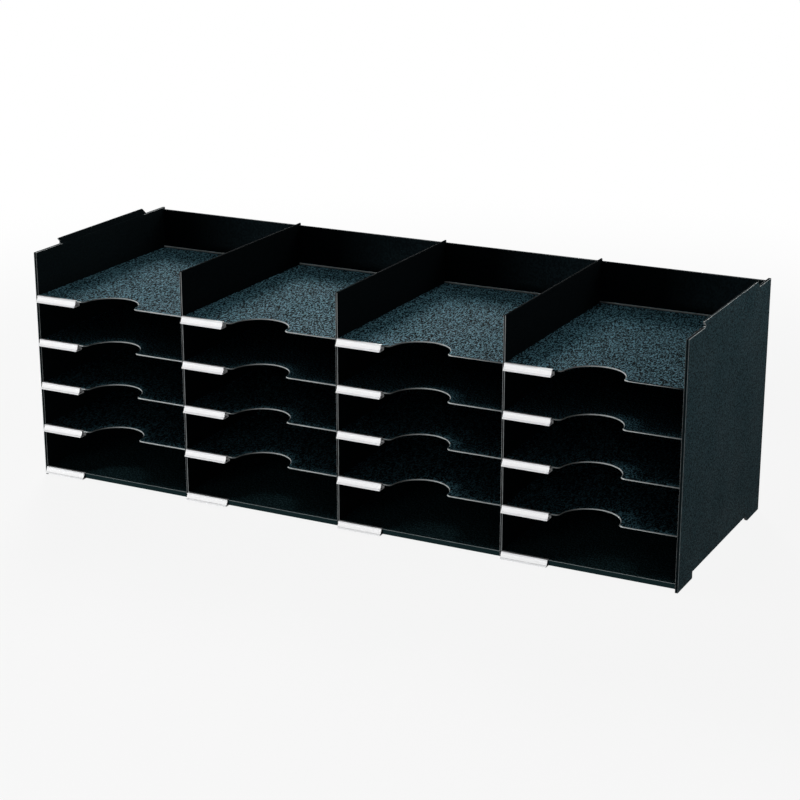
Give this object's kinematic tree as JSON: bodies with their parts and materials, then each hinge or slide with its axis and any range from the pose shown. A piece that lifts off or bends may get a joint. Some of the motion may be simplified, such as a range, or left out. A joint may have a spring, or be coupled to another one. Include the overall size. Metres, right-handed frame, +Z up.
{
  "type": "document sorter",
  "caption": "Wide desktop document sorter: black plastic columns of notched A4 shelves between upright panels, with white label cards in clips on the shelf fronts.",
  "frame": {"origin": "on the desk, under the middle of the whole sorter, label clips included", "axes": "+X to the right along the columns, -Y out of the open front, +Z up"},
  "size_m": [0.892, 0.3106, 0.313],
  "materials": {
    "panel_plastic": "satin",
    "shelf_plastic": "satin",
    "back_plastic": "satin",
    "clip_plastic": "satin",
    "label_card": "matte"
  },
  "bodies": {
    "sorter": {"left_side_panel": "panel_plastic", "right_side_panel": "panel_plastic", "divider_1": "panel_plastic", "divider_2": "panel_plastic", "divider_3": "panel_plastic", "base_tray_1": "shelf_plastic", "base_tray_2": "shelf_plastic", "base_tray_3": "shelf_plastic", "base_tray_4": "shelf_plastic", "shelf_1_1": "shelf_plastic", "shelf_1_2": "shelf_plastic", "shelf_1_3": "shelf_plastic", "shelf_1_4": "shelf_plastic", "shelf_2_1": "shelf_plastic", "shelf_2_2": "shelf_plastic", "shelf_2_3": "shelf_plastic", "shelf_2_4": "shelf_plastic", "shelf_3_1": "shelf_plastic", "shelf_3_2": "shelf_plastic", "shelf_3_3": "shelf_plastic", "shelf_3_4": "shelf_plastic", "shelf_4_1": "shelf_plastic", "shelf_4_2": "shelf_plastic", "shelf_4_3": "shelf_plastic", "shelf_4_4": "shelf_plastic", "back_panel_1": "back_plastic", "back_panel_2": "back_plastic", "back_panel_3": "back_plastic", "back_panel_4": "back_plastic", "label_clips_1": "clip_plastic", "label_clips_2": "clip_plastic", "label_clips_3": "clip_plastic", "label_clips_4": "clip_plastic"},
    "label_card_1_0": {"label_card_1_0": "label_card"},
    "label_card_1_1": {"label_card_1_1": "label_card"},
    "label_card_1_2": {"label_card_1_2": "label_card"},
    "label_card_1_3": {"label_card_1_3": "label_card"},
    "label_card_1_4": {"label_card_1_4": "label_card"},
    "label_card_2_0": {"label_card_2_0": "label_card"},
    "label_card_2_1": {"label_card_2_1": "label_card"},
    "label_card_2_2": {"label_card_2_2": "label_card"},
    "label_card_2_3": {"label_card_2_3": "label_card"},
    "label_card_2_4": {"label_card_2_4": "label_card"},
    "label_card_3_0": {"label_card_3_0": "label_card"},
    "label_card_3_1": {"label_card_3_1": "label_card"},
    "label_card_3_2": {"label_card_3_2": "label_card"},
    "label_card_3_3": {"label_card_3_3": "label_card"},
    "label_card_3_4": {"label_card_3_4": "label_card"},
    "label_card_4_0": {"label_card_4_0": "label_card"},
    "label_card_4_1": {"label_card_4_1": "label_card"},
    "label_card_4_2": {"label_card_4_2": "label_card"},
    "label_card_4_3": {"label_card_4_3": "label_card"},
    "label_card_4_4": {"label_card_4_4": "label_card"}
  },
  "joints": [
    {"name": "label_card_1_0_slide", "type": "slide", "parent": "sorter", "child": "label_card_1_0", "axis": [1, 0, 0], "range_m": [0, 0.06]},
    {"name": "label_card_1_1_slide", "type": "slide", "parent": "sorter", "child": "label_card_1_1", "axis": [1, 0, 0], "range_m": [0, 0.06]},
    {"name": "label_card_1_2_slide", "type": "slide", "parent": "sorter", "child": "label_card_1_2", "axis": [1, 0, 0], "range_m": [0, 0.06]},
    {"name": "label_card_1_3_slide", "type": "slide", "parent": "sorter", "child": "label_card_1_3", "axis": [1, 0, 0], "range_m": [0, 0.06]},
    {"name": "label_card_1_4_slide", "type": "slide", "parent": "sorter", "child": "label_card_1_4", "axis": [1, 0, 0], "range_m": [0, 0.06]},
    {"name": "label_card_2_0_slide", "type": "slide", "parent": "sorter", "child": "label_card_2_0", "axis": [1, 0, 0], "range_m": [0, 0.06]},
    {"name": "label_card_2_1_slide", "type": "slide", "parent": "sorter", "child": "label_card_2_1", "axis": [1, 0, 0], "range_m": [0, 0.06]},
    {"name": "label_card_2_2_slide", "type": "slide", "parent": "sorter", "child": "label_card_2_2", "axis": [1, 0, 0], "range_m": [0, 0.06]},
    {"name": "label_card_2_3_slide", "type": "slide", "parent": "sorter", "child": "label_card_2_3", "axis": [1, 0, 0], "range_m": [0, 0.06]},
    {"name": "label_card_2_4_slide", "type": "slide", "parent": "sorter", "child": "label_card_2_4", "axis": [1, 0, 0], "range_m": [0, 0.06]},
    {"name": "label_card_3_0_slide", "type": "slide", "parent": "sorter", "child": "label_card_3_0", "axis": [1, 0, 0], "range_m": [0, 0.06]},
    {"name": "label_card_3_1_slide", "type": "slide", "parent": "sorter", "child": "label_card_3_1", "axis": [1, 0, 0], "range_m": [0, 0.06]},
    {"name": "label_card_3_2_slide", "type": "slide", "parent": "sorter", "child": "label_card_3_2", "axis": [1, 0, 0], "range_m": [0, 0.06]},
    {"name": "label_card_3_3_slide", "type": "slide", "parent": "sorter", "child": "label_card_3_3", "axis": [1, 0, 0], "range_m": [0, 0.06]},
    {"name": "label_card_3_4_slide", "type": "slide", "parent": "sorter", "child": "label_card_3_4", "axis": [1, 0, 0], "range_m": [0, 0.06]},
    {"name": "label_card_4_0_slide", "type": "slide", "parent": "sorter", "child": "label_card_4_0", "axis": [1, 0, 0], "range_m": [0, 0.06]},
    {"name": "label_card_4_1_slide", "type": "slide", "parent": "sorter", "child": "label_card_4_1", "axis": [1, 0, 0], "range_m": [0, 0.06]},
    {"name": "label_card_4_2_slide", "type": "slide", "parent": "sorter", "child": "label_card_4_2", "axis": [1, 0, 0], "range_m": [0, 0.06]},
    {"name": "label_card_4_3_slide", "type": "slide", "parent": "sorter", "child": "label_card_4_3", "axis": [1, 0, 0], "range_m": [0, 0.06]},
    {"name": "label_card_4_4_slide", "type": "slide", "parent": "sorter", "child": "label_card_4_4", "axis": [1, 0, 0], "range_m": [0, 0.06]}
  ]
}
